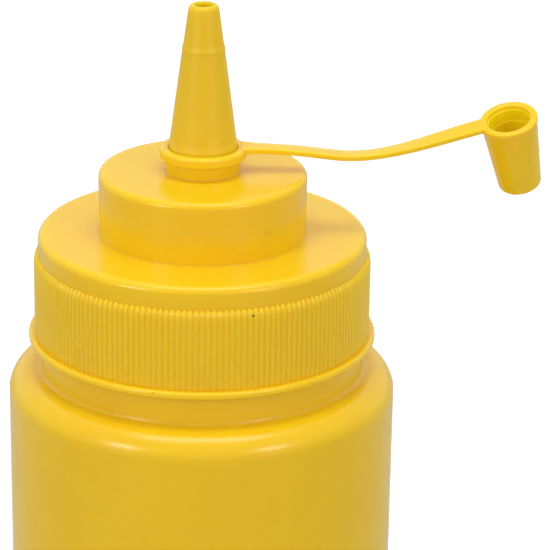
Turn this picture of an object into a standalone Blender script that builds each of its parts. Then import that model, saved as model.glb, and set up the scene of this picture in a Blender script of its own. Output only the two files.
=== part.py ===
"""Squeeze bottle for sauce, with a screw cap and a tethered nozzle cap.

Three plastic mouldings make the object: the bottle with its neck, the screw cap
with its ribbed skirt and spout, and the nozzle cap with its ring and strap.
Metres, +Z up. The origin is the centre of the bottle's underside, and the strap
leads to +X.
"""

import math

import bmesh
import bpy
from mathutils import Matrix, Vector

MM = 0.001
GAP = 0.3 * MM  # air between two pieces that touch
MERGE = 0.001 * MM  # points this near are one point

# Bottle
BODY_R = 38.0 * MM
FOOT_R = 37.5 * MM
FOOT_ROUND = 5.0 * MM
SHOULDER_Z = 176.5 * MM
SHOULDER_ROUND = 4.8 * MM
NECK_R = 31.7 * MM
NECK_FILLET = 1.0 * MM
FINISH_R = 30.4 * MM  # the part of the neck inside the cap
FINISH_TOP_Z = 198.0 * MM
FINISH_ROUND = 1.0 * MM

# Screw cap: heights from the underside of the bottle
LIP_Z = 182.7 * MM
LIP_R = 34.0 * MM
LIP_THICK = 1.5 * MM
LIP_ROUND = 0.6 * MM
RIB_COUNT = 180
RIB_R = 32.87 * MM
GROOVE_R = 32.65 * MM
RIB_FULL_Z = 198.4 * MM
RIB_END_Z = 200.2 * MM
STEP_R = 32.0 * MM
STEP_Z = 204.5 * MM
STEP_ROUND = 1.4 * MM
DRUM_R = 20.2 * MM
DRUM_Z = 216.8 * MM
DRUM_ROUND = 1.2 * MM
DRUM_FILLET = 0.4 * MM

# Spout of the screw cap
BOSS_R = 7.3 * MM
BOSS_Z = 219.4 * MM
BOSS_FILLET = 0.2 * MM
COLLAR_R = 6.7 * MM  # where the ring sits
COLLAR_Z = 222.0 * MM
CONE_FOOT_R = 6.4 * MM
CONE_FOOT_Z = 223.5 * MM
CONE_FOOT_ROUND = 0.8 * MM
BEAD_Z = 241.45 * MM  # crest of the fine bead round the nozzle
BEAD_R = 4.17 * MM
BEAD_RISE = 0.85 * MM  # from the crest up to the cone above
BEAD_FALL = 0.6 * MM  # from the crest down to the cone below
CONE_ABOVE_R = 3.88 * MM
CONE_BELOW_R = 4.12 * MM
TIP_R = 2.83 * MM
TIP_Z = 250.0 * MM
TIP_ROUND = 0.9 * MM
MOUTH_R = 1.75 * MM
BORE_END_R = 3.0 * MM
BORE_END_Z = 221.0 * MM

# Nozzle cap: ring, strap and cup
RING_R = 8.45 * MM
RING_Z = BOSS_Z + GAP
RING_HIGH = 2.0 * MM
RING_ROUND = 0.7 * MM
RING_FOOT_ROUND = 0.3 * MM
STRAP_WIDE = 3.8 * MM
STRAP_THICK = 1.05 * MM
STRAP_ROUND = 0.15 * MM
STRAP_SHORT = 0.2 * MM  # wall left between its end and the cup's mouth
STRAP_ROOT_X = 7.6 * MM  # the strap widens towards the ring
STRAP_ROOT_LONG = 5.0 * MM
STRAP_ROOT_FLARE = 0.4
CUP_CENTRE = Vector((58.8, 0.3, 227.55)) * MM  # middle of its mouth
CUP_LEAN = math.radians(12.4)  # mouth turned towards the strap
CUP_NOD = math.radians(16.6)  # mouth turned towards -Y
CUP_R = 5.62 * MM
CUP_RIM_LONG = 0.8 * MM  # its slightly proud rim
CUP_NECK_R = 5.37 * MM
CUP_NECK_DEEP = 1.5 * MM
CUP_LONG = 15.75 * MM
CUP_END_R = 4.15 * MM
CUP_END_ROUND = 0.75 * MM
CUP_RIM_ROUND = 0.25 * MM
CUP_MOUTH_R = 4.2 * MM
LEDGE_DEEP = 0.9 * MM
CUP_BORE_R = 4.0 * MM
CUP_BORE_END_R = 3.1 * MM
CUP_BORE_DEEP = 14.0 * MM

# Facets round a full turn
BODY_FACETS = 80
CAP_FACETS = 72
SPOUT_FACETS = 40
RING_FACETS = 48
CUP_FACETS = 36
ARC_FACET_LONG = 0.5 * MM
ARC_FACETS = (2, 5)  # least and most along one rounding
STRAP_STATIONS = 26
SLOPE_STEP = 0.1 * MM  # over which the strap's slope is read
SHARP_ANGLE = math.radians(32)

YELLOW = (0.93, 0.55, 0.012, 1.0)


def plastic(name, roughness):
    """Opaque yellow polyethylene, as moulded."""
    material = bpy.data.materials.new(name)
    material.use_nodes = True
    shader = material.node_tree.nodes["Principled BSDF"]
    shader.inputs["Base Color"].default_value = YELLOW
    shader.inputs["Roughness"].default_value = roughness
    shader.inputs["Metallic"].default_value = 0.0
    material.diffuse_color = YELLOW
    return material


def finished(name, bm, material=None):
    """Turns a closed bmesh into an object with smooth shading."""
    bmesh.ops.remove_doubles(bm, verts=bm.verts[:], dist=MERGE)
    bmesh.ops.recalc_face_normals(bm, faces=bm.faces[:])
    mesh = bpy.data.meshes.new(name)
    bm.to_mesh(mesh)
    bm.free()
    mesh.shade_smooth()
    mesh.set_sharp_from_angle(angle=SHARP_ANGLE)
    obj = bpy.data.objects.new(name, mesh)
    bpy.context.scene.collection.objects.link(obj)
    if material:
        mesh.materials.append(material)
    return obj


def turned(corners, facets):
    """A solid of revolution about Z. Each corner of its outline is (radius, z, rounding)."""
    bm = bmesh.new()
    points = [bm.verts.new((corner[0], 0.0, corner[1])) for corner in corners]
    for first, second in zip(points, points[1:]):
        bm.edges.new((first, second))
    for point, corner in zip(points, corners):
        if corner[2] > 0.0:
            wanted = round(corner[2] / ARC_FACET_LONG)
            bmesh.ops.bevel(
                bm,
                geom=[point],
                offset=corner[2],
                offset_type="OFFSET",
                segments=min(max(wanted, ARC_FACETS[0]), ARC_FACETS[1]),
                profile=0.5,
                affect="VERTICES",
                material=-1,
            )
    bmesh.ops.spin(
        bm,
        geom=bm.verts[:] + bm.edges[:],
        cent=(0.0, 0.0, 0.0),
        axis=(0.0, 0.0, 1.0),
        dvec=(0.0, 0.0, 0.0),
        angle=math.tau,
        steps=facets,
        use_merge=True,
        use_duplicate=False,
    )
    return bm


def combine(obj, helper, operation):
    """Joins a helper solid to an object, or cuts it out. The helper itself isn't a piece."""
    helper.hide_render = True
    helper.display_type = "WIRE"
    boolean = obj.modifiers.new(helper.name, "BOOLEAN")
    boolean.object = helper
    boolean.operation = operation
    boolean.solver = "EXACT"


def bottle():
    """Body, shoulder and neck. It is shut and opaque, so the solid is full."""
    neck_top_z = LIP_Z - GAP
    outline = [
        (0.0, 0.0, 0.0),
        (FOOT_R, 0.0, FOOT_ROUND),
        (BODY_R, SHOULDER_Z, SHOULDER_ROUND),
        (NECK_R, SHOULDER_Z, NECK_FILLET),
        (NECK_R, neck_top_z, 0.0),
        (FINISH_R, neck_top_z, 0.0),
        (FINISH_R, FINISH_TOP_Z, FINISH_ROUND),
        (0.0, FINISH_TOP_Z, 0.0),
    ]
    finished("bottle", turned(outline, BODY_FACETS), plastic("bottle_plastic", 0.36))


def ribs():
    """The grip: a disc whose rim zigzags between rib and groove, with sloping upper ends."""
    bm = bmesh.new()
    sunk_r = STEP_R - STEP_ROUND
    slope = (RIB_END_Z - RIB_FULL_Z) / (RIB_R - STEP_R)
    rings = [  # height, radius at the ribs, radius at the grooves
        (LIP_Z + LIP_THICK / 2, RIB_R, GROOVE_R),
        (RIB_FULL_Z, RIB_R, GROOVE_R),
        (RIB_FULL_Z + slope * (RIB_R - sunk_r), sunk_r, sunk_r),
    ]
    rims = []
    for height, rib_r, groove_r in rings:
        rim = bmesh.ops.create_circle(bm, radius=groove_r, segments=2 * RIB_COUNT)["verts"]
        grow = rib_r / groove_r
        bmesh.ops.scale(bm, vec=(grow, grow, 1.0), verts=rim[::2])
        bmesh.ops.translate(bm, vec=(0.0, 0.0, height), verts=rim)
        rims.append(rim)
    for low, high in zip(rims, rims[1:]):
        both = set(low + high)
        edges = [edge for edge in bm.edges if set(edge.verts) <= both]
        bmesh.ops.bridge_loops(bm, edges=edges)
    bm.faces.new(rims[0])
    bm.faces.new(rims[-1])
    return finished("rib_ring", bm)


def screw_cap():
    """Skirt with lip and ribs, broad step, drum and spout: one moulding over the neck."""
    skirt_outline = [
        (0.0, LIP_Z, 0.0),
        (LIP_R, LIP_Z, LIP_ROUND),
        (LIP_R, LIP_Z + LIP_THICK, LIP_ROUND),
        (STEP_R, LIP_Z + LIP_THICK, 0.0),
        (STEP_R, STEP_Z, STEP_ROUND),
        (DRUM_R, STEP_Z, DRUM_FILLET),
        (DRUM_R, DRUM_Z, DRUM_ROUND),
        (0.0, DRUM_Z, 0.0),
    ]
    spout_outline = [
        (0.0, DRUM_Z - DRUM_ROUND, 0.0),
        (BOSS_R, DRUM_Z - DRUM_ROUND, 0.0),
        (BOSS_R, BOSS_Z, BOSS_FILLET),
        (COLLAR_R, BOSS_Z, 0.0),
        (COLLAR_R, COLLAR_Z, 0.0),
        (CONE_FOOT_R, CONE_FOOT_Z, CONE_FOOT_ROUND),
        (CONE_BELOW_R, BEAD_Z - BEAD_FALL, 0.0),
        (BEAD_R, BEAD_Z, 0.0),
        (CONE_ABOVE_R, BEAD_Z + BEAD_RISE, 0.0),
        (TIP_R, TIP_Z, TIP_ROUND),
        (0.0, TIP_Z, 0.0),
    ]
    bore_outline = [
        (0.0, BORE_END_Z, 0.0),
        (BORE_END_R, BORE_END_Z, 0.0),
        (MOUTH_R, TIP_Z, 0.0),
        (MOUTH_R, TIP_Z + GAP, 0.0),
        (0.0, TIP_Z + GAP, 0.0),
    ]
    recess_outline = [
        (0.0, LIP_Z - GAP, 0.0),
        (FINISH_R + GAP, LIP_Z - GAP, 0.0),
        (FINISH_R + GAP, FINISH_TOP_Z + GAP, FINISH_ROUND),
        (0.0, FINISH_TOP_Z + GAP, 0.0),
    ]
    cap = finished("screw_cap", turned(skirt_outline, CAP_FACETS), plastic("cap_plastic", 0.28))
    spout = finished("spout_joined", turned(spout_outline, SPOUT_FACETS))
    bore = finished("spout_bore", turned(bore_outline, SPOUT_FACETS))
    recess = finished("neck_recess", turned(recess_outline, BODY_FACETS))
    combine(cap, ribs(), "UNION")
    combine(cap, spout, "UNION")
    combine(cap, bore, "DIFFERENCE")
    combine(cap, recess, "DIFFERENCE")


def strap_route(x):
    """Height and twist of the strap's middle at x: a slack sag, then a climb to the cup."""
    knots = (  # x, z and slope, in millimetres
        (7.5, 221.4, -0.05),
        (20.0, 220.65, -0.11),
        (28.5, 219.85, 0.0),
        (38.0, 221.2, 0.25),
        (54.5, 226.25, 0.28),
    )
    place = x / MM
    span = next((pair for pair in zip(knots, knots[1:]) if place <= pair[1][0]), knots[-2:])
    (x0, z0, slope0), (x1, z1, slope1) = span
    t = (place - x0) / (x1 - x0)
    long = x1 - x0
    height = (
        (2 * t**3 - 3 * t**2 + 1) * z0
        + (t**3 - 2 * t**2 + t) * long * slope0
        + (3 * t**2 - 2 * t**3) * z1
        + (t**3 - t**2) * long * slope1
    )
    turning = min(max((place - 31.0) / (54.5 - 31.0), 0.0), 1.0)
    twist = CUP_NOD * turning * turning * (3 - 2 * turning)
    return height * MM, twist


def strap(start_x, end_x):
    """A flat bar, bent along its route and twisted to meet the cup's mouth."""
    bm = bmesh.new()
    bmesh.ops.create_cube(bm, size=1.0)
    bmesh.ops.scale(bm, vec=(end_x - start_x, STRAP_WIDE, STRAP_THICK), verts=bm.verts[:])
    bmesh.ops.translate(bm, vec=((start_x + end_x) / 2, 0.0, 0.0), verts=bm.verts[:])
    lengthwise = [
        edge for edge in bm.edges if abs(edge.verts[0].co.x - edge.verts[1].co.x) > STRAP_WIDE
    ]
    bmesh.ops.bevel(
        bm,
        geom=lengthwise,
        offset=STRAP_ROUND,
        offset_type="OFFSET",
        segments=1,
        profile=0.5,
        affect="EDGES",
        material=-1,
    )
    lengthwise = [
        edge for edge in bm.edges if abs(edge.verts[0].co.x - edge.verts[1].co.x) > STRAP_WIDE
    ]
    bmesh.ops.subdivide_edges(bm, edges=lengthwise, cuts=STRAP_STATIONS, use_grid_fill=False)
    for vert in bm.verts:
        x = vert.co.x
        height, twist = strap_route(x)
        ahead = strap_route(x + SLOPE_STEP)[0]
        slope = math.atan2(ahead - height, SLOPE_STEP)
        rooted = min(max(1.0 - (x - STRAP_ROOT_X) / STRAP_ROOT_LONG, 0.0), 1.0)
        side = vert.co.y * (1.0 + STRAP_ROOT_FLARE * rooted * rooted)
        across = Matrix.Rotation(twist, 3, "X") @ Vector((0.0, side, vert.co.z))
        vert.co = Vector((x, 0.0, height)) + Matrix.Rotation(-slope, 3, "Y") @ across
    return finished("strap_joined", bm)


def nozzle_cap():
    """Ring round the spout, slack strap, and the cup that shuts the nozzle: one moulding."""
    ring_hole_r = COLLAR_R + GAP
    ring_outline = [
        (ring_hole_r, RING_Z, 0.0),
        (RING_R, RING_Z, RING_FOOT_ROUND),
        (RING_R, RING_Z + RING_HIGH, RING_ROUND),
        (ring_hole_r, RING_Z + RING_HIGH, 0.0),
        (ring_hole_r, RING_Z, 0.0),
    ]
    cup_outline = [
        (0.0, -CUP_LONG, 0.0),
        (CUP_END_R, -CUP_LONG, CUP_END_ROUND),
        (CUP_NECK_R, -CUP_NECK_DEEP, 0.0),
        (CUP_R, -CUP_RIM_LONG, 0.0),
        (CUP_R, 0.0, CUP_RIM_ROUND),
        (CUP_MOUTH_R, 0.0, CUP_RIM_ROUND),
        (CUP_MOUTH_R, -LEDGE_DEEP, 0.0),
        (CUP_BORE_R, -LEDGE_DEEP, 0.0),
        (CUP_BORE_END_R, -CUP_BORE_DEEP, 0.0),
        (0.0, -CUP_BORE_DEEP, 0.0),
    ]
    cap = finished(
        "nozzle_cap", turned(ring_outline, RING_FACETS), plastic("nozzle_cap_plastic", 0.3)
    )
    cup = finished("cup_joined", turned(cup_outline, CUP_FACETS))
    cup.rotation_euler = (CUP_NOD, -CUP_LEAN, 0.0)
    cup.location = CUP_CENTRE
    strap_start = (ring_hole_r + RING_R) / 2 - STRAP_ROUND
    strap_end = CUP_CENTRE.x - (CUP_MOUTH_R + STRAP_SHORT) * math.cos(CUP_LEAN)
    combine(cap, strap(strap_start, strap_end), "UNION")
    combine(cap, cup, "UNION")


for old in list(bpy.data.objects):
    bpy.data.objects.remove(old)
bottle()
screw_cap()
nozzle_cap()
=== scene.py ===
import math

import bmesh
import bpy
import numpy as np
from mathutils import Matrix, Vector


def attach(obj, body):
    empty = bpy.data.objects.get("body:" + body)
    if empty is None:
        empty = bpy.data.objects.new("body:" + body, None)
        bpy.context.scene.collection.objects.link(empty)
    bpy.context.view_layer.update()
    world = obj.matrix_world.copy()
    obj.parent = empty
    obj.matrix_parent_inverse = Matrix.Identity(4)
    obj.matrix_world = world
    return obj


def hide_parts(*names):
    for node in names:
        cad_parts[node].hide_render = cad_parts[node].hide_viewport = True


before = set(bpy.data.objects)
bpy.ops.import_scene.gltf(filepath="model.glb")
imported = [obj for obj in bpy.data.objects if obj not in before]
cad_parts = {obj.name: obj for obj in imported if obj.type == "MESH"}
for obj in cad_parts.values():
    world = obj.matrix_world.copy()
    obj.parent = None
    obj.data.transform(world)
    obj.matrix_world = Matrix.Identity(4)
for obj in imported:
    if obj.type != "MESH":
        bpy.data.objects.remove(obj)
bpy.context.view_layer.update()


# ---------------------------------------------------------------- Camera
# A long lens half a metre off, a little above the nozzle and looking down on the cap.
# The bottle stands left of the middle, so that the strap and its small cap fit in.
CAMERA_AT = (-0.00026, -0.57633, 0.41460)
CAMERA_DOWN = math.radians(20.854)
CAMERA_ROLL = math.radians(0.315)
CAMERA_PAN = math.radians(1.346)
LENS_MM = 206.15
CAMERA_SEES = (0.02, 20.0)  # nearest and furthest

camera = bpy.data.objects.new("camera", bpy.data.cameras.new("camera"))
camera.data.lens = LENS_MM
camera.data.clip_start, camera.data.clip_end = CAMERA_SEES
camera.matrix_world = (
    Matrix.Translation(CAMERA_AT)
    @ Matrix.Rotation(math.radians(90) - CAMERA_DOWN, 4, "X")
    @ Matrix.Rotation(CAMERA_ROLL, 4, "Z")
    @ Matrix.Rotation(-CAMERA_PAN, 4, "Y")
)
bpy.context.scene.collection.objects.link(camera)
bpy.context.scene.camera = camera
bpy.context.scene.view_settings.view_transform = "Standard"


# ---------------------------------------------------------------- Floor and light
# A flat sheet of white paper under one wide soft box, which hangs overhead and a bit in front.
# Two small boxes stand close by at the left and right, each on a dim panel that reaches down
# to the paper. They draw the short strokes on the shoulder and faint lines down round walls.
FLOOR_SIZE = 8.0
PAPER_WHITE = 0.92
PAPER_GLOW = 0.30
PAPER_ROUGHNESS = 0.9
PAPER_BOUNCE_FRONT = 0.45  # how much of its light the paper throws back on what stands on it
PAPER_BOUNCE_BEHIND = 0.60
BOUNCE_FRONT_Y = -0.05  # between these two places the bounce goes from one to the other
BOUNCE_BEHIND_Y = 0.30
ROOM_WHITE = (1.0, 1.0, 1.0, 1.0)
ROOM_LIGHT = 0.64
FAR_WALL_LIGHT = 0.16  # what the pale wall behind adds, strongest just above the table
FAR_WALL_UP = math.radians(22)
FAR_WALL_TOWARDS = (0.0, math.cos(FAR_WALL_UP), math.sin(FAR_WALL_UP))
FAR_WALL_EDGE = 0.2  # cosine of the angle off its middle where the wall ends
FAR_WALL_FULL = 0.95  # and of the angle where it is at its brightest
OVERHEAD_AT = (0.0, -0.165, 1.75)
OVERHEAD_SIZE = (1.24, 0.62)
OVERHEAD_WATTS = 8.7
BOX_AWAY = 0.60
BOX_UP_Z = 0.40
BOX_AIM_Z = 0.18
BOX_SIZE = (0.16, 0.15)
PANEL_Z = 0.16
PANEL_SIZE = (0.12, 0.30)
SIDE_LIGHTS = (  # degrees round from the front, watts of the box and of the panel
    ("left", -46.0, 0.66, 0.07),
    ("right", 41.0, 0.52, 0.06),
)


def add_node(tree, kind, values=None, **settings):
    """Adds a node, with its settings and the values or links of its inputs."""
    node = tree.nodes.new(kind)
    for setting, value in settings.items():
        setattr(node, setting, value)
    for socket, value in (values or {}).items():
        if isinstance(value, bpy.types.NodeSocket):
            tree.links.new(value, node.inputs[socket])
        else:
            node.inputs[socket].default_value = value
    return node


def softbox(name, at, aim, size, watts):
    """A rectangular soft light at a place, turned to face a point."""
    light = bpy.data.lights.new(name, "AREA")
    light.shape = "RECTANGLE"
    light.size, light.size_y = size
    light.energy = watts
    box = bpy.data.objects.new(name, light)
    box.location = at
    box.rotation_euler = (Vector(aim) - Vector(at)).to_track_quat("-Z", "Y").to_euler()
    box.visible_camera = False
    bpy.context.scene.collection.objects.link(box)


def floor():
    """One flat sheet of paper, pure white to the camera, with a calmer bounce."""
    sheet = bmesh.new()
    bmesh.ops.create_grid(sheet, x_segments=1, y_segments=1, size=FLOOR_SIZE / 2)
    mesh = bpy.data.meshes.new("floor")
    sheet.to_mesh(mesh)
    sheet.free()
    paper = bpy.data.materials.new("paper")
    paper.use_nodes = True
    tree = paper.node_tree
    place = add_node(tree, "ShaderNodeTexCoord").outputs["Object"]
    bounce = add_node(
        tree,
        "ShaderNodeMapRange",
        {
            "Value": add_node(tree, "ShaderNodeSeparateXYZ", {"Vector": place}).outputs["Y"],
            "From Min": BOUNCE_FRONT_Y,
            "From Max": BOUNCE_BEHIND_Y,
            "To Min": PAPER_BOUNCE_FRONT,
            "To Max": PAPER_BOUNCE_BEHIND,
        },
    ).outputs["Result"]
    seen = add_node(tree, "ShaderNodeLightPath").outputs["Is Camera Ray"]
    white = add_node(
        tree, "ShaderNodeMapRange", {"Value": seen, "To Min": bounce, "To Max": PAPER_WHITE}
    ).outputs["Result"]
    glow = add_node(
        tree, "ShaderNodeMapRange", {"Value": seen, "To Min": 0.0, "To Max": PAPER_GLOW}
    ).outputs["Result"]
    shader = tree.nodes["Principled BSDF"]
    shader.inputs["Roughness"].default_value = PAPER_ROUGHNESS
    shader.inputs["Specular IOR Level"].default_value = 0.0
    shader.inputs["Emission Color"].default_value = ROOM_WHITE
    tree.links.new(white, shader.inputs["Base Color"])
    tree.links.new(glow, shader.inputs["Emission Strength"])
    mesh.materials.append(paper)
    sheet_object = bpy.data.objects.new("floor", mesh)
    bpy.context.scene.collection.objects.link(sheet_object)


def light_room():
    """Pale light from all round, with a brighter wall behind."""
    room = bpy.data.worlds.new("room")
    room.use_nodes = True
    tree = room.node_tree
    towards = add_node(tree, "ShaderNodeTexCoord").outputs["Generated"]
    facing = add_node(
        tree, "ShaderNodeVectorMath", {0: towards, 1: FAR_WALL_TOWARDS}, operation="DOT_PRODUCT"
    ).outputs["Value"]
    strength = add_node(
        tree,
        "ShaderNodeMapRange",
        {
            "Value": facing,
            "From Min": FAR_WALL_EDGE,
            "From Max": FAR_WALL_FULL,
            "To Min": ROOM_LIGHT,
            "To Max": ROOM_LIGHT + FAR_WALL_LIGHT,
        },
        interpolation_type="SMOOTHSTEP",
    ).outputs["Result"]
    background = tree.nodes["Background"]
    background.inputs["Color"].default_value = ROOM_WHITE
    tree.links.new(strength, background.inputs["Strength"])
    bpy.context.scene.world = room


light_room()
floor()
softbox("overhead", OVERHEAD_AT, (0.0, OVERHEAD_AT[1], 0.0), OVERHEAD_SIZE, OVERHEAD_WATTS)
for side, degrees, box_watts, panel_watts in SIDE_LIGHTS:
    turn = math.radians(degrees)
    foot = Vector((BOX_AWAY * math.sin(turn), -BOX_AWAY * math.cos(turn), 0.0))
    box_at = foot + Vector((0.0, 0.0, BOX_UP_Z))
    panel_at = foot + Vector((0.0, 0.0, PANEL_Z))
    softbox(side + "_box", box_at, (0.0, 0.0, BOX_AIM_Z), BOX_SIZE, box_watts)
    softbox(side + "_panel", panel_at, (0.0, 0.0, PANEL_Z), PANEL_SIZE, panel_watts)


# ---------------------------------------------------------------- Bottle
# Blow moulded from soft yellow polyethylene: a rounded foot, a straight wall, a full shoulder
# and a short neck. The mould's halves leave a fine line down each side, and the pinched end
# of the tube leaves a weld across the pushed-up underside. The neck goes on up inside the cap.
MM = 0.001
BODY_R = 38.0 * MM
FOOT_R = 37.5 * MM
FOOT_ROUND = 5.0 * MM
FOOT_RING_R = 31.0 * MM
FOOT_RING_ROUND = 1.0 * MM
PUSH_UP = 0.9 * MM
PUSH_UP_R = 26.0 * MM
PUSH_UP_ROUND = 1.5 * MM
SHOULDER_Z = 176.5 * MM
SHOULDER_ROUND = 4.8 * MM
NECK_R = 31.7 * MM
NECK_FILLET = 1.0 * MM
NECK_TOP_Z = 182.4 * MM
NECK_TOP_ROUND = 0.3 * MM
FINISH_R = 30.4 * MM
FINISH_TOP_Z = 198.0 * MM
FINISH_ROUND = 1.0 * MM
PARTING_PROUD = 0.06 * MM
WELD_DEEP = 0.35 * MM
WELD_REACH_R = 25.0 * MM
BOTTLE_FACET = 0.4 * MM  # about how long one facet of a rounding is
BOTTLE_TURNS = 320
ARC_SHARE = 1.6  # a square corner's arc is about this many times its rounding
ARC_FACETS = (3, 16)  # least and most along one rounding
HOLD = 0.2 * MM  # how near a flat's last ring lies to the rounding beside it
MERGE = 0.001 * MM  # points this near are one point
SHARP_FROM = math.radians(40)
SHORTEST_BEND = 0.02 * MM  # a shorter edge says little on how the surface bends
FULL_BEND = 2000.0  # a rounding of half a millimetre counts in full


def lay_outline(bm, corners, facet):
    """Lays out a turned piece's outline. Each corner is (radius, height, rounding)."""
    points = [(Vector((corners[0][0], 0.0, corners[0][1])), corners[0][2])]
    for corner, following in zip(corners, corners[1:]):
        radius, height, rounding = corner
        next_radius, next_height, next_rounding = following
        start = Vector((radius, 0.0, height))
        end = Vector((next_radius, 0.0, next_height))
        run = (end - start).length
        if run > rounding + next_rounding + 4 * HOLD:
            for along in (rounding + HOLD, run - next_rounding - HOLD):
                points.append((start.lerp(end, along / run), 0.0))
        points.append((end, next_rounding))
    verts = [bm.verts.new(place) for place, _ in points]
    for first, second in zip(verts, verts[1:]):
        bm.edges.new((first, second))
    for vert, (_, rounding) in zip(verts, points):
        if rounding > 0.0:
            wanted = round(ARC_SHARE * rounding / facet)
            bmesh.ops.bevel(
                bm,
                geom=[vert],
                offset=rounding,
                offset_type="OFFSET",
                segments=min(max(wanted, ARC_FACETS[0]), ARC_FACETS[1]),
                profile=0.5,
                affect="VERTICES",
                material=-1,
            )


def turn_outline(bm, turns):
    """Turns the outline in a bmesh a full round about Z and closes its seam."""
    bmesh.ops.spin(
        bm,
        geom=bm.verts[:] + bm.edges[:],
        cent=(0.0, 0.0, 0.0),
        axis=(0.0, 0.0, 1.0),
        dvec=(0.0, 0.0, 0.0),
        angle=math.tau,
        steps=turns,
        use_merge=True,
        use_duplicate=False,
    )


def make_piece(name, bm):
    """Closes a bmesh's seams, turns its faces outwards and makes a smooth object of it."""
    bmesh.ops.remove_doubles(bm, verts=bm.verts[:], dist=MERGE)
    bmesh.ops.recalc_face_normals(bm, faces=bm.faces[:])
    mesh = bpy.data.meshes.new(name)
    bm.to_mesh(mesh)
    bm.free()
    mesh.shade_smooth()
    mesh.set_sharp_from_angle(angle=SHARP_FROM)
    piece = bpy.data.objects.new(name, mesh)
    bpy.context.scene.collection.objects.link(piece)
    return piece


def mark_bends(piece):
    """Keeps with each point how sharply the surface turns out (edge) and in (nook)."""
    mesh = piece.data
    count = len(mesh.vertices)
    places = np.empty(count * 3)
    mesh.vertices.foreach_get("co", places)
    places = places.reshape(-1, 3)
    facing = np.empty(count * 3)
    mesh.vertices.foreach_get("normal", facing)
    facing = facing.reshape(-1, 3)
    ends = np.empty(len(mesh.edges) * 2, int)
    mesh.edges.foreach_get("vertices", ends)
    first, second = ends.reshape(-1, 2).T
    step = places[second] - places[first]
    long = np.maximum((step**2).sum(1), SHORTEST_BEND**2)
    bend = ((facing[second] - facing[first]) * step).sum(1) / long
    for name, amount in (("edge", bend), ("nook", -bend)):
        most = np.zeros(count)
        share = np.clip(amount / FULL_BEND, 0.0, 1.0)
        np.maximum.at(most, first, share)
        np.maximum.at(most, second, share)
        kept = mesh.attributes.new(name, "FLOAT", "POINT")
        kept.data.foreach_set("value", most.astype(np.float32))


def new_group(name, inputs, outputs):
    """A node group with named sockets, and the nodes at its two ends."""
    tree = bpy.data.node_groups.new(name, "ShaderNodeTree")
    for socket, kind in inputs:
        tree.interface.new_socket(socket, in_out="INPUT", socket_type=kind)
    for socket, kind in outputs:
        tree.interface.new_socket(socket, in_out="OUTPUT", socket_type=kind)
    return tree, tree.nodes.new("NodeGroupInput"), tree.nodes.new("NodeGroupOutput")


def ramp(tree, value, low, high):
    """Takes a value from 0 at low to 1 at high, smoothly."""
    return add_node(
        tree,
        "ShaderNodeMapRange",
        {"Value": value, "From Min": low, "From Max": high},
        interpolation_type="SMOOTHSTEP",
    ).outputs["Result"]


def math_step(tree, operation, first, second):
    """One step of arithmetic on two values."""
    return add_node(
        tree, "ShaderNodeMath", {0: first, 1: second}, operation=operation
    ).outputs["Value"]


def tint(tree, colour, share, towards):
    """Takes a colour a share of the way towards another."""
    return add_node(
        tree, "ShaderNodeMix", {"Factor": share, "A": colour, "B": towards}, data_type="RGBA"
    ).outputs["Result"]


def noise(tree, place, scale, detail):
    """Soft noise over the places on the piece, so many clumps to the metre."""
    return add_node(
        tree, "ShaderNodeTexNoise", {"Vector": place, "Scale": scale, "Detail": detail}
    ).outputs["Fac"]


CLOUDS_PER_METRE = 60.0
CLOUD_RANGE = (0.35, 0.68)
STREAK_STRETCH = (900.0, 900.0, 45.0)  # narrow round the wall and long up it
STREAK_RANGE = (0.5, 0.75)


def pigment_group():
    """Pigment in moulded plastic: slow clouds, and faint streaks along the flow."""
    tree, given, result = new_group(
        "pigment clouds",
        [
            ("Place", "NodeSocketVector"),
            ("Even", "NodeSocketColor"),
            ("Cloudy", "NodeSocketColor"),
            ("Streaks", "NodeSocketFloat"),
        ],
        [("Colour", "NodeSocketColor")],
    )
    place = given.outputs["Place"]
    cloud = ramp(tree, noise(tree, place, CLOUDS_PER_METRE, detail=3.0), *CLOUD_RANGE)
    drawn = add_node(
        tree, "ShaderNodeVectorMath", {0: place, 1: STREAK_STRETCH}, operation="MULTIPLY"
    ).outputs["Vector"]
    streak = ramp(tree, noise(tree, drawn, scale=1.0, detail=2.0), *STREAK_RANGE)
    streak = math_step(tree, "MULTIPLY", streak, given.outputs["Streaks"])
    share = math_step(tree, "MAXIMUM", cloud, streak)
    colour = tint(tree, given.outputs["Even"], share, given.outputs["Cloudy"])
    tree.links.new(colour, result.inputs["Colour"])
    return tree


GRAINS_PER_METRE = 3500.0
GRAIN_SHARE = 0.1
SINKS_PER_METRE = 90.0
DULL_PATCHES_PER_METRE = 200.0
DULL_RANGE = (0.3, 0.7)


def skin_group():
    """The moulded skin: a very fine grain over slow sinks, and how dull each spot is."""
    tree, given, result = new_group(
        "moulded skin",
        [("Place", "NodeSocketVector")],
        [("Height", "NodeSocketFloat"), ("Dullness", "NodeSocketFloat")],
    )
    place = given.outputs["Place"]
    grain = noise(tree, place, GRAINS_PER_METRE, detail=2.0)
    sinks = noise(tree, place, SINKS_PER_METRE, detail=1.0)
    height = math_step(tree, "ADD", math_step(tree, "MULTIPLY", grain, GRAIN_SHARE), sinks)
    dull = ramp(tree, noise(tree, place, DULL_PATCHES_PER_METRE, detail=2.0), *DULL_RANGE)
    tree.links.new(height, result.inputs["Height"])
    tree.links.new(dull, result.inputs["Dullness"])
    return tree


SCUFFS_ALONG = (  # lean of the strokes, and how the noise is drawn out along them
    (0.5, (2600.0, 2600.0, 120.0)),
    (-0.9, (2200.0, 150.0, 2200.0)),
)
STROKE_RANGE = (0.70, 0.78)
SCUFFED_SPOTS_PER_METRE = 110.0
SCUFFED_RANGE = (0.48, 0.62)


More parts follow.
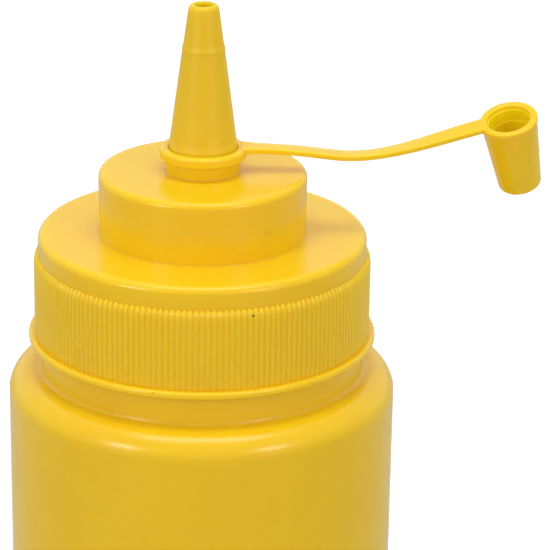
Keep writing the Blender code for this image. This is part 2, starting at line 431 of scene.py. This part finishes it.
def scuff_group():
    """Hairline scuffs from handling, in two directions, broken up into short strokes."""
    tree, given, result = new_group(
        "hairline scuffs",
        [("Place", "NodeSocketVector"), ("Amount", "NodeSocketFloat")],
        [("Mask", "NodeSocketFloat")],
    )
    place = given.outputs["Place"]
    strokes = 0.0
    for lean, stretch in SCUFFS_ALONG:
        turned = add_node(
            tree,
            "ShaderNodeMapping",
            {"Vector": place, "Rotation": (lean, lean, 0.0), "Scale": stretch},
        ).outputs["Vector"]
        stroke = ramp(tree, noise(tree, turned, scale=1.0, detail=0.0), *STROKE_RANGE)
        strokes = math_step(tree, "MAXIMUM", strokes, stroke)
    spots = ramp(tree, noise(tree, place, SCUFFED_SPOTS_PER_METRE, detail=2.0), *SCUFFED_RANGE)
    some = math_step(tree, "MULTIPLY", strokes, spots)
    mask = math_step(tree, "MULTIPLY", some, given.outputs["Amount"])
    tree.links.new(mask, result.inputs["Mask"])
    return tree


RAGS_PER_METRE = 3000.0
RAGGED_FROM = 0.5  # the rim lies this many sizes out, and up to one size further
FLECK_FADES = (0.45, 1.1)  # on the way from the fleck's middle to its rim


def fleck_group():
    """One small fleck of dirt at a place, with a ragged rim."""
    tree, given, result = new_group(
        "dirt fleck",
        [
            ("Place", "NodeSocketVector"),
            ("Centre", "NodeSocketVector"),
            ("Size", "NodeSocketFloat"),
            ("Strength", "NodeSocketFloat"),
        ],
        [("Mask", "NodeSocketFloat")],
    )
    place = given.outputs["Place"]
    away = add_node(
        tree,
        "ShaderNodeVectorMath",
        {0: place, 1: given.outputs["Centre"]},
        operation="DISTANCE",
    ).outputs["Value"]
    ragged = math_step(tree, "ADD", noise(tree, place, RAGS_PER_METRE, detail=2.0), RAGGED_FROM)
    rim = math_step(tree, "MULTIPLY", given.outputs["Size"], ragged)
    outside = ramp(tree, math_step(tree, "DIVIDE", away, rim), *FLECK_FADES)
    inside = math_step(tree, "SUBTRACT", 1.0, outside)
    mask = math_step(tree, "MULTIPLY", inside, given.outputs["Strength"])
    tree.links.new(mask, result.inputs["Mask"])
    return tree


PIGMENT = pigment_group()
SKIN = skin_group()
SCUFFS = scuff_group()
FLECK = fleck_group()
RUBBED_EDGE = (1.0, 0.66, 0.05, 1.0)
RUBBED_SHARE = 0.06
RUBBED_SPOTS_PER_METRE = 700.0
RUBBED_RANGE = (0.4, 0.75)
# Painted shade: creases are tinted towards a darker, deeper orange.
PAINTED_SHADE_NOOK = (0.55, 0.27, 0.004, 1.0)
PAINTED_SHADE_SHARE = 0.06
FLECK_BROWN = (0.16, 0.085, 0.01, 1.0)
SATIN_YELLOW = (0.855, 0.57, 0.006, 1.0)
SATIN_FADES_OVER = 2.0 * MM
PAINTED_LIGHT_THROUGH = (1.0, 0.775, 0.008, 1.0)  # painted light: lighter yellow for a bore, standing for light let through its walls from outside
PATCHES_DULL_BY = 0.012
SCUFFS_DULL_BY = 0.02
SATIN_DULLS_BY = 0.18
SKIN_STRENGTH = 0.2
SKIN_DEEP = 0.05 * MM
POLYETHYLENE_IOR = 1.46
LIGHT_GOES_IN = (1.0, 0.9, 0.2)  # how far red, green and blue go into the plastic, by its depth


def yellow_plastic(
    name, even, cloudy, dullness, depth, flecks=(), streaks=0.3, scuffs=0.1, satin_from=None
):
    """Yellow plastic as moulded, which lets light a little way in. A fleck is (degrees from the
    front, height, radius, size, strength). Above satin_from the mould was blasted, so the skin is
    duller there. Creases get a darker orange as painted shade, and marked bores a lighter yellow
    as painted light."""
    material = bpy.data.materials.new(name)
    material.use_nodes = True
    tree = material.node_tree
    shader = tree.nodes["Principled BSDF"]
    place = add_node(tree, "ShaderNodeTexCoord").outputs["Object"]
    edge, nook, painted_light_through = (
        add_node(tree, "ShaderNodeAttribute", attribute_name=marked).outputs["Fac"]
        for marked in ("edge", "nook", "painted_light_through")
    )
    colour = add_node(
        tree,
        "ShaderNodeGroup",
        {"Place": place, "Even": even, "Cloudy": cloudy, "Streaks": streaks},
        node_tree=PIGMENT,
    ).outputs["Colour"]
    skin = add_node(tree, "ShaderNodeGroup", {"Place": place}, node_tree=SKIN)
    scuffed = add_node(
        tree, "ShaderNodeGroup", {"Place": place, "Amount": scuffs}, node_tree=SCUFFS
    ).outputs["Mask"]
    rough = math_step(tree, "MULTIPLY", skin.outputs["Dullness"], PATCHES_DULL_BY)
    rough = math_step(tree, "ADD", rough, dullness)
    rough = math_step(tree, "ADD", rough, math_step(tree, "MULTIPLY", scuffed, SCUFFS_DULL_BY))
    if satin_from is not None:
        height = add_node(tree, "ShaderNodeSeparateXYZ", {"Vector": place}).outputs["Z"]
        satin = ramp(tree, height, satin_from, satin_from + SATIN_FADES_OVER)
        colour = tint(tree, colour, satin, SATIN_YELLOW)
        rough = math_step(tree, "ADD", rough, math_step(tree, "MULTIPLY", satin, SATIN_DULLS_BY))
    broken = ramp(tree, noise(tree, place, RUBBED_SPOTS_PER_METRE, detail=3.0), *RUBBED_RANGE)
    rubbed = math_step(tree, "MULTIPLY", edge, broken)
    colour = tint(tree, colour, math_step(tree, "MULTIPLY", rubbed, RUBBED_SHARE), RUBBED_EDGE)
    # Painted shade: darker, deeper orange in the creases.
    colour = tint(tree, colour, math_step(tree, "MULTIPLY", nook, PAINTED_SHADE_SHARE), PAINTED_SHADE_NOOK)
    # Painted light: marked bores take a lighter yellow, standing for light let through the wall.
    colour = tint(tree, colour, painted_light_through, PAINTED_LIGHT_THROUGH)
    for degrees, height, radius, size, strength in flecks:
        angle = math.radians(degrees)
        centre = (radius * math.sin(angle), -radius * math.cos(angle), height)
        fleck = add_node(
            tree,
            "ShaderNodeGroup",
            {"Place": place, "Centre": centre, "Size": size, "Strength": strength},
            node_tree=FLECK,
        ).outputs["Mask"]
        colour = tint(tree, colour, fleck, FLECK_BROWN)
    bump = add_node(
        tree,
        "ShaderNodeBump",
        {"Height": skin.outputs["Height"], "Strength": SKIN_STRENGTH, "Distance": SKIN_DEEP},
    )
    tree.links.new(colour, shader.inputs["Base Color"])
    tree.links.new(rough, shader.inputs["Roughness"])
    tree.links.new(bump.outputs["Normal"], shader.inputs["Normal"])
    shader.inputs["IOR"].default_value = POLYETHYLENE_IOR
    shader.inputs["Subsurface Weight"].default_value = 1.0
    shader.inputs["Subsurface Radius"].default_value = LIGHT_GOES_IN
    shader.inputs["Subsurface Scale"].default_value = depth
    return material


bottle_mesh = bmesh.new()
lay_outline(
    bottle_mesh,
    [
        (0.0, PUSH_UP, 0.0),
        (PUSH_UP_R, PUSH_UP, PUSH_UP_ROUND),
        (FOOT_RING_R, 0.0, FOOT_RING_ROUND),
        (FOOT_R, 0.0, FOOT_ROUND),
        (BODY_R, SHOULDER_Z, SHOULDER_ROUND),
        (NECK_R, SHOULDER_Z, NECK_FILLET),
        (NECK_R, NECK_TOP_Z, NECK_TOP_ROUND),
        (FINISH_R, NECK_TOP_Z, 0.0),
        (FINISH_R, FINISH_TOP_Z, FINISH_ROUND),
        (0.0, FINISH_TOP_Z, 0.0),
    ],
    BOTTLE_FACET,
)
turn_outline(bottle_mesh, BOTTLE_TURNS)
for vert in bottle_mesh.verts:
    out = math.hypot(vert.co.x, vert.co.y)
    if abs(vert.co.y) < MERGE and out > NECK_R - MERGE and vert.co.z > FOOT_ROUND:
        vert.co.x *= 1.0 + PARTING_PROUD / out
    if abs(vert.co.y) < MERGE and out < WELD_REACH_R and 0.0 < vert.co.z < PUSH_UP + MERGE:
        vert.co.z -= WELD_DEEP
bottle = make_piece("bottle_body", bottle_mesh)
mark_bends(bottle)
bottle.data.materials.append(
    yellow_plastic(
        "bottle_yellow",
        even=(0.93, 0.61, 0.008, 1.0),
        cloudy=(0.915, 0.59, 0.008, 1.0),
        dullness=0.21,
        depth=1.4 * MM,
        streaks=0.15,
    )
)
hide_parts("bottle")
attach(bottle, "root")


# ---------------------------------------------------------------- Screw cap
# One stiff injection moulding screwed down over the neck. From the foot up: a rounded lip, 180
# fine ribs with rounded ends, a smooth band, a broad step, a drum, a low boss for the nozzle
# cap's ring, and the tapered nozzle, satin all over, with a fine bead and an open tip.
LIP_Z = 182.7 * MM
LIP_R = 34.0 * MM
LIP_THICK = 1.5 * MM
LIP_ROUND = 0.6 * MM
LIP_INNER_R = 33.2 * MM
LIP_INNER_ROUND = 0.3 * MM
RIBS = 180
RIB_COLUMNS = 8
RIB_STRAIGHT_ROWS = 2
RIB_END_ROWS = 7
RIB_R = 32.87 * MM
GROOVE_R = 32.69 * MM
RIB_FULL_Z = 198.3 * MM
RIB_END_Z = 200.2 * MM
GROOVE_END_Z = 199.8 * MM
BAND_FOOT_Z = 200.6 * MM
STEP_R = 32.0 * MM
STEP_Z = 204.5 * MM
STEP_ROUND = 1.4 * MM
DRUM_R = 20.2 * MM
DRUM_Z = 216.8 * MM
DRUM_ROUND = 1.2 * MM
DRUM_FILLET = 0.15 * MM
BOSS_R = 7.3 * MM
BOSS_Z = 219.4 * MM
BOSS_ROUND = 0.25 * MM
BOSS_FILLET = 0.35 * MM
COLLAR_R = 6.7 * MM
COLLAR_Z = 222.0 * MM
COLLAR_ROUND = 0.3 * MM
COLLAR_FILLET = 0.1 * MM
CONE_FOOT_R = 6.4 * MM
CONE_FOOT_Z = 223.5 * MM
CONE_FOOT_ROUND = 0.8 * MM
BEAD_Z = 241.45 * MM
BEAD_R = 4.17 * MM
BEAD_ROUND = 0.15 * MM
BEAD_RISE = 0.85 * MM  # from its crest up to the cone above
BEAD_FALL = 0.6 * MM  # from its crest down to the cone below
CONE_ABOVE_R = 3.88 * MM
CONE_ABOVE_FILLET = 0.3 * MM
CONE_BELOW_R = 4.12 * MM
CONE_BELOW_FILLET = 0.2 * MM
TIP_R = 2.83 * MM
TIP_Z = 250.0 * MM
TIP_ROUND = 0.9 * MM
MOUTH_R = 1.75 * MM
MOUTH_ROUND = 0.25 * MM
BORE_END_R = 3.0 * MM
BORE_END_Z = 221.0 * MM
RECESS_R = 30.7 * MM
RECESS_TOP_Z = 198.3 * MM
RECESS_ROUND = 0.5 * MM
CAP_FACET = 0.16 * MM
BORE_SLACK = 0.4 * MM  # how far past a bore's wall a point still counts as in it
# Share of painted light in the nozzle's bore, lightened as if lit through its wall.
TIP_LIT_THROUGH = 0.6


def add_ribs(bm):
    """Shapes one rib from a small grid, from crest to grooves, and repeats it all round."""
    rows = 1 + RIB_STRAIGHT_ROWS + RIB_END_ROWS + 1
    rib = bmesh.ops.create_grid(bm, x_segments=RIB_COLUMNS, y_segments=rows, size=0.5)["verts"]
    ends = {}
    for vert in rib:
        across = 2.0 * vert.co.x
        column = round((vert.co.x + 0.5) * RIB_COLUMNS)
        row = round((vert.co.y + 0.5) * rows)
        fullness = math.cos(across * math.pi / 2)
        radius = GROOVE_R + (RIB_R - GROOVE_R) * fullness
        if row == 0:
            radius, height = LIP_INNER_R, LIP_Z + LIP_THICK
        elif row <= 1 + RIB_STRAIGHT_ROWS:
            up = (row - 1) / RIB_STRAIGHT_ROWS
            height = LIP_Z + LIP_THICK + up * (RIB_FULL_Z - LIP_Z - LIP_THICK)
        elif row < rows:
            bow = (row - 1 - RIB_STRAIGHT_ROWS) / RIB_END_ROWS * math.pi / 2
            top = GROOVE_END_Z + (RIB_END_Z - GROOVE_END_Z) * fullness
            height = RIB_FULL_Z + (top - RIB_FULL_Z) * math.sin(bow)
            radius = STEP_R + (radius - STEP_R) * math.cos(bow)
        else:
            radius, height = STEP_R, BAND_FOOT_Z
        angle = -math.pi / 2 + across * math.pi / RIBS
        vert.co = Vector((radius * math.cos(angle), radius * math.sin(angle), height))
        if row in (0, rows):
            ends[row, column] = vert
    middle = RIB_COLUMNS // 2  # the foot and top rows keep three points a rib, as the lip has
    welds = {}
    for (row, column), vert in ends.items():
        nearest = min((0, middle, RIB_COLUMNS), key=lambda kept: abs(kept - column))
        if nearest != column:
            welds[vert] = ends[row, nearest]
    bmesh.ops.weld_verts(bm, targetmap=welds)
    bmesh.ops.spin(
        bm,
        geom=bm.verts[:] + bm.edges[:] + bm.faces[:],
        cent=(0.0, 0.0, 0.0),
        axis=(0.0, 0.0, 1.0),
        dvec=(0.0, 0.0, 0.0),
        angle=math.tau * (RIBS - 1) / RIBS,
        steps=RIBS - 1,
        use_merge=False,
        use_duplicate=True,
    )


def mark_bore(piece, place, mouth_z, mouth_radius, end_z, end_radius, share):
    """Marks the points in a tapered bore with a share, which the material paints as light coming
    through the wall.
    """
    out_of_place = place.inverted()
    painted_light_through = piece.data.attributes.new("painted_light_through", "FLOAT", "POINT")
    for vert, kept in zip(piece.data.vertices, painted_light_through.data):
        inside = out_of_place @ vert.co
        deep = (mouth_z - inside.z) / (mouth_z - end_z)
        wall = mouth_radius + (end_radius - mouth_radius) * deep + BORE_SLACK
        in_bore = -MERGE < deep < 1.0 + MERGE and math.hypot(inside.x, inside.y) < wall
        kept.value = share if in_bore else 0.0


cap_mesh = bmesh.new()
lay_outline(
    cap_mesh,
    [
        (0.0, BORE_END_Z, 0.0),
        (BORE_END_R, BORE_END_Z, 0.0),
        (MOUTH_R, TIP_Z, MOUTH_ROUND),
        (TIP_R, TIP_Z, TIP_ROUND),
        (CONE_ABOVE_R, BEAD_Z + BEAD_RISE, CONE_ABOVE_FILLET),
        (BEAD_R, BEAD_Z, BEAD_ROUND),
        (CONE_BELOW_R, BEAD_Z - BEAD_FALL, CONE_BELOW_FILLET),
        (CONE_FOOT_R, CONE_FOOT_Z, CONE_FOOT_ROUND),
        (COLLAR_R, COLLAR_Z, COLLAR_ROUND),
        (COLLAR_R, BOSS_Z, COLLAR_FILLET),
        (BOSS_R, BOSS_Z, BOSS_ROUND),
        (BOSS_R, DRUM_Z, BOSS_FILLET),
        (DRUM_R, DRUM_Z, DRUM_ROUND),
        (DRUM_R, STEP_Z, DRUM_FILLET),
        (STEP_R, STEP_Z, STEP_ROUND),
        (STEP_R, BAND_FOOT_Z, 0.0),
    ],
    CAP_FACET,
)
lay_outline(
    cap_mesh,
    [
        (LIP_INNER_R, LIP_Z + LIP_THICK, 0.0),
        (LIP_R, LIP_Z + LIP_THICK, LIP_ROUND),
        (LIP_R, LIP_Z, LIP_ROUND),
        (RECESS_R, LIP_Z, LIP_INNER_ROUND),
        (RECESS_R, RECESS_TOP_Z, RECESS_ROUND),
        (0.0, RECESS_TOP_Z, 0.0),
    ],
    CAP_FACET,
)
turn_outline(cap_mesh, 2 * RIBS)
rib_mesh = bmesh.new()
add_ribs(rib_mesh)
ribs = bpy.data.meshes.new("ribs")
rib_mesh.to_mesh(ribs)
rib_mesh.free()
cap_mesh.from_mesh(ribs)
bpy.data.meshes.remove(ribs)
cap = make_piece("screw_cap_and_nozzle", cap_mesh)
mark_bends(cap)
# Painted light: the nozzle's bore is coloured lighter, as if lit through its wall.
mark_bore(
    cap, Matrix.Identity(4), TIP_Z - HOLD, MOUTH_R, BORE_END_Z, BORE_END_R, TIP_LIT_THROUGH
)
cap.data.materials.append(
    yellow_plastic(
        "cap_yellow",
        even=(0.935, 0.61, 0.008, 1.0),
        cloudy=(0.92, 0.59, 0.008, 1.0),
        dullness=0.22,
        depth=1.8 * MM,
        satin_from=COLLAR_Z,
        flecks=(
            (16.9, 198.9 * MM, 32.7 * MM, 0.33 * MM, 0.9),
            (-15.6, 183.8 * MM, 34.0 * MM, 0.22 * MM, 0.5),
            (-8.5, 187.4 * MM, 32.7 * MM, 0.20 * MM, 0.35),
            (5.8, 216.9 * MM, 19.9 * MM, 0.18 * MM, 0.4),
            (36.9, 209.7 * MM, 20.2 * MM, 0.90 * MM, 0.09),
            (40.2, 209.7 * MM, 20.2 * MM, 0.80 * MM, 0.06),
        ),
    )
)
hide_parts("screw_cap")
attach(cap, "root")


# ---------------------------------------------------------------- Nozzle cap
# One soft moulding: a ring snapped over the foot of the nozzle, a flat strap that sags and then
# climbs away to the right, and a small tapered cap with a stepped bore for the tip. The strap's
# free end has twisted, so the small cap nods forward. Its gate has left a nub on the wall.
RING_R = 8.45 * MM
RING_Z = 219.7 * MM
RING_HIGH = 2.0 * MM
RING_ROUND = 0.7 * MM
RING_FOOT_ROUND = 0.3 * MM
RING_HOLE_R = 6.8 * MM
RING_HOLE_ROUND = 0.2 * MM
RING_HOLE_FOOT_ROUND = 0.15 * MM
RING_TURNS = 160
STRAP_WIDE = 3.8 * MM
STRAP_THICK = 1.05 * MM
STRAP_ROUND = 0.2 * MM
STRAP_ROUND_FACETS = 4
STRAP_STATIONS = 150
STRAP_SHORT = 0.2 * MM  # wall left between its end and the small cap's mouth
STRAP_ROOT_X = 7.6 * MM
STRAP_ROOT_LONG = 5.0 * MM
STRAP_ROOT_FLARE = 0.4
SLOPE_STEP = 0.1 * MM  # over which the strap's slope is read
CUP_CENTRE = Vector((58.8, 0.3, 227.55)) * MM  # middle of its mouth
CUP_LEAN = math.radians(12.4)  # mouth turned towards the strap
CUP_NOD = math.radians(16.6)  # mouth turned to the front
CUP_R = 5.62 * MM
CUP_RIM_LONG = 0.8 * MM
CUP_RIM_ROUND = 0.3 * MM
CUP_NECK_R = 5.37 * MM
CUP_NECK_DEEP = 1.5 * MM
CUP_NECK_ROUND = 0.2 * MM
CUP_LONG = 15.75 * MM
CUP_END_R = 4.15 * MM
CUP_END_ROUND = 0.7 * MM
CUP_MOUTH_R = 4.2 * MM
CUP_STEP_DEEP = 0.9 * MM
CUP_STEP_ROUND = 0.1 * MM
CUP_BORE_R = 4.0 * MM
CUP_SEAL_DEEP = 3.3 * MM
CUP_SEAL_R = 3.94 * MM
CUP_BELOW_SEAL_R = 3.8 * MM
CUP_SEAL_ROUND = 0.05 * MM
CUP_BORE_DEEP = 14.0 * MM
CUP_BORE_END_R = 3.1 * MM
CUP_BORE_END_ROUND = 0.5 * MM
CUP_TURNS = 128
NOZZLE_CAP_FACET = 0.12 * MM
# Share of painted light in the small cap's bore, lightened as if lit through its wall.
CUP_LIT_THROUGH = 1.0
GATE_DEEP = 8.8 * MM
GATE_PROUD = 0.25 * MM
GATE_R = 0.4 * MM
GATE_FLATTENED = (1.0, 0.7, 0.6)


def strap_route(x):
    """Height and twist of the strap's middle at x: a slack sag, then a climb to the cup."""
    twist_from, twist_to = 31.0, 54.5
    knots = (  # x, z and slope, in millimetres
        (7.5, 221.4, -0.05),
        (20.0, 220.65, -0.11),
        (28.5, 219.85, 0.0),
        (38.0, 221.2, 0.25),
        (54.5, 226.25, 0.28),
    )
    place = x / MM
    span = next((pair for pair in zip(knots, knots[1:]) if place <= pair[1][0]), knots[-2:])
    (x0, z0, slope0), (x1, z1, slope1) = span
    t = (place - x0) / (x1 - x0)
    long = x1 - x0
    height = (
        (2 * t**3 - 3 * t**2 + 1) * z0
        + (t**3 - 2 * t**2 + t) * long * slope0
        + (3 * t**2 - 2 * t**3) * z1
        + (t**3 - t**2) * long * slope1
    )
    turning = min(max((place - twist_from) / (twist_to - twist_from), 0.0), 1.0)
    twist = CUP_NOD * turning * turning * (3 - 2 * turning)
    return height * MM, twist


def lengthwise_edges(bm):
    """The edges that run the whole length of the straight strap."""
    return [edge for edge in bm.edges if abs(edge.verts[0].co.x - edge.verts[1].co.x) > STRAP_WIDE]


def make_strap(start_x, end_x):
    """A flat bar with rounded edges, bent along its route and twisted to meet the small cap."""
    bm = bmesh.new()
    bmesh.ops.create_cube(bm, size=1.0)
    bmesh.ops.scale(bm, vec=(end_x - start_x, STRAP_WIDE, STRAP_THICK), verts=bm.verts[:])
    bmesh.ops.translate(bm, vec=((start_x + end_x) / 2, 0.0, 0.0), verts=bm.verts[:])
    bmesh.ops.bevel(
        bm,
        geom=lengthwise_edges(bm),
        offset=STRAP_ROUND,
        offset_type="OFFSET",
        segments=STRAP_ROUND_FACETS,
        profile=0.5,
        affect="EDGES",
        material=-1,
    )
    bmesh.ops.subdivide_edges(
        bm, edges=lengthwise_edges(bm), cuts=STRAP_STATIONS, use_grid_fill=False
    )
    for vert in bm.verts:
        x = vert.co.x
        height, twist = strap_route(x)
        slope = math.atan2(strap_route(x + SLOPE_STEP)[0] - height, SLOPE_STEP)
        rooted = min(max(1.0 - (x - STRAP_ROOT_X) / STRAP_ROOT_LONG, 0.0), 1.0)
        side = vert.co.y * (1.0 + STRAP_ROOT_FLARE * rooted * rooted)
        across = Matrix.Rotation(twist, 3, "X") @ Vector((0.0, side, vert.co.z))
        vert.co = Vector((x, 0.0, height)) + Matrix.Rotation(-slope, 3, "Y") @ across
    return make_piece("strap", bm)


ring_mesh = bmesh.new()
lay_outline(
    ring_mesh,
    [
        (RING_HOLE_R, RING_Z + RING_HIGH / 2, 0.0),
        (RING_HOLE_R, RING_Z, RING_HOLE_FOOT_ROUND),
        (RING_R, RING_Z, RING_FOOT_ROUND),
        (RING_R, RING_Z + RING_HIGH, RING_ROUND),
        (RING_HOLE_R, RING_Z + RING_HIGH, RING_HOLE_ROUND),
        (RING_HOLE_R, RING_Z + RING_HIGH / 2, 0.0),
    ],
    NOZZLE_CAP_FACET,
)
turn_outline(ring_mesh, RING_TURNS)
nozzle_cap = make_piece("nozzle_cap_with_strap", ring_mesh)

cup_mesh = bmesh.new()
lay_outline(
    cup_mesh,
    [
        (0.0, -CUP_LONG, 0.0),
        (CUP_END_R, -CUP_LONG, CUP_END_ROUND),
        (CUP_NECK_R, -CUP_NECK_DEEP, CUP_NECK_ROUND),
        (CUP_R, -CUP_RIM_LONG, CUP_NECK_ROUND),
        (CUP_R, 0.0, CUP_RIM_ROUND),
        (CUP_MOUTH_R, 0.0, CUP_RIM_ROUND),
        (CUP_MOUTH_R, -CUP_STEP_DEEP, CUP_STEP_ROUND),
        (CUP_BORE_R, -CUP_STEP_DEEP, CUP_STEP_ROUND),
        (CUP_SEAL_R, -CUP_SEAL_DEEP, CUP_SEAL_ROUND),
        (CUP_BELOW_SEAL_R, -CUP_SEAL_DEEP, CUP_SEAL_ROUND),
        (CUP_BORE_END_R, -CUP_BORE_DEEP, CUP_BORE_END_ROUND),
        (0.0, -CUP_BORE_DEEP, 0.0),
    ],
    NOZZLE_CAP_FACET,
)
turn_outline(cup_mesh, CUP_TURNS)
place_cup = (
    Matrix.Translation(CUP_CENTRE)
    @ Matrix.Rotation(-CUP_LEAN, 4, "Y")
    @ Matrix.Rotation(CUP_NOD, 4, "X")
)
bmesh.ops.transform(cup_mesh, matrix=place_cup, verts=cup_mesh.verts[:])
cup = make_piece("cup", cup_mesh)

gate_mesh = bmesh.new()
bmesh.ops.create_icosphere(gate_mesh, subdivisions=3, radius=GATE_R)
bmesh.ops.scale(gate_mesh, vec=GATE_FLATTENED, verts=gate_mesh.verts[:])
wall_at_gate = CUP_NECK_R - (CUP_NECK_R - CUP_END_R) * GATE_DEEP / CUP_LONG
gate_at = (wall_at_gate + GATE_PROUD - GATE_R, 0.0, -GATE_DEEP)
bmesh.ops.translate(gate_mesh, vec=gate_at, verts=gate_mesh.verts[:])
bmesh.ops.transform(gate_mesh, matrix=place_cup, verts=gate_mesh.verts[:])
gate = make_piece("gate", gate_mesh)

strap_start_x = (RING_HOLE_R + RING_R) / 2 - STRAP_ROUND
strap_end_x = CUP_CENTRE.x - (CUP_MOUTH_R + STRAP_SHORT) * math.cos(CUP_LEAN)
strap = make_strap(strap_start_x, strap_end_x)

for joined in (strap, cup, gate):
    union = nozzle_cap.modifiers.new(joined.name, "BOOLEAN")
    union.object = joined
    union.operation = "UNION"
    union.solver = "EXACT"
whole = bpy.data.meshes.new_from_object(
    nozzle_cap.evaluated_get(bpy.context.evaluated_depsgraph_get())
)
nozzle_cap.modifiers.clear()
nozzle_cap.data = whole
for joined in (strap, cup, gate):
    bpy.data.objects.remove(joined)
whole.shade_smooth()
whole.set_sharp_from_angle(angle=SHARP_FROM)
mark_bends(nozzle_cap)
# Painted light: the small cap's bore is coloured lighter, as if lit through its wall.
mark_bore(
    nozzle_cap,
    place_cup,
    -CUP_STEP_DEEP / 2,
    CUP_MOUTH_R,
    -CUP_BORE_DEEP,
    CUP_BORE_END_R,
    CUP_LIT_THROUGH,
)
nozzle_cap.data.materials.clear()
nozzle_cap.data.materials.append(
    yellow_plastic(
        "nozzle_cap_yellow",
        even=(0.95, 0.63, 0.010, 1.0),
        cloudy=(0.935, 0.61, 0.010, 1.0),
        dullness=0.25,
        depth=1.0 * MM,
    )
)
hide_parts("nozzle_cap")
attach(nozzle_cap, "root")
